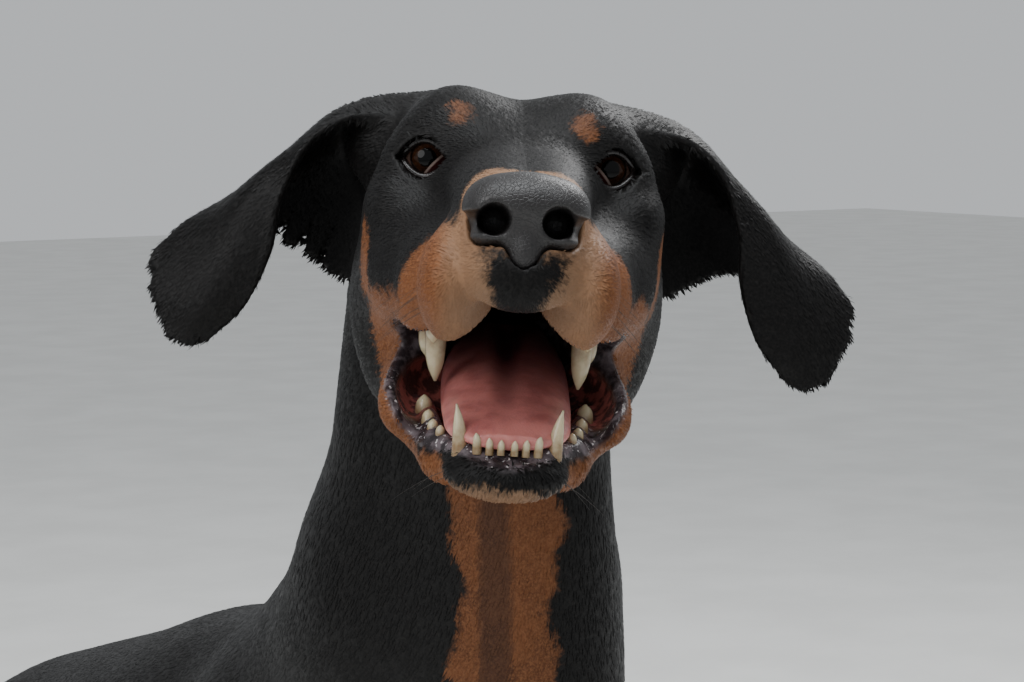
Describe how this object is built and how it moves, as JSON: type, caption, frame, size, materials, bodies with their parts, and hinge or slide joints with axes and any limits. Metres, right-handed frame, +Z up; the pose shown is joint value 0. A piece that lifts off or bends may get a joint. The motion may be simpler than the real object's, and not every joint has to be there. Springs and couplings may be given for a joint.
{
  "type": "doberman pinscher dog, lying",
  "caption": "Life-size black and rust Doberman pinscher lying with its head raised, mouth open and natural drop ears spread, as a still model.",
  "frame": {"origin": "middle of the bounding box in X and Y, on the floor", "axes": "+X is the dog's left, -Y is the way its chest faces, +Z is up"},
  "size_m": [0.4611, 1.1376, 0.6932],
  "materials": {
    "black_coat": "short flat glossy black coat over skin",
    "rust_coat": "short flat rust coat over skin",
    "nose_leather": "moist pebbled black nose",
    "eye_gloss": "wet dark brown eye",
    "wet_tongue": "moist pink tongue"
  },
  "bodies": {
    "root": {"head": "black_coat", "jaw": "rust_coat", "tongue": "wet_tongue", "nose": "nose_leather", "eye_left": "eye_gloss", "eye_right": "eye_gloss", "ear_left": "black_coat", "ear_right": "black_coat", "neck": "black_coat", "torso": "black_coat", "tail": "black_coat", "foreleg_left": "rust_coat", "foreleg_right": "rust_coat", "forepaw_left": "rust_coat", "forepaw_right": "rust_coat", "hindleg_left": "black_coat", "hindleg_right": "black_coat", "hindpaw_left": "rust_coat", "hindpaw_right": "rust_coat"}
  },
  "joints": []
}
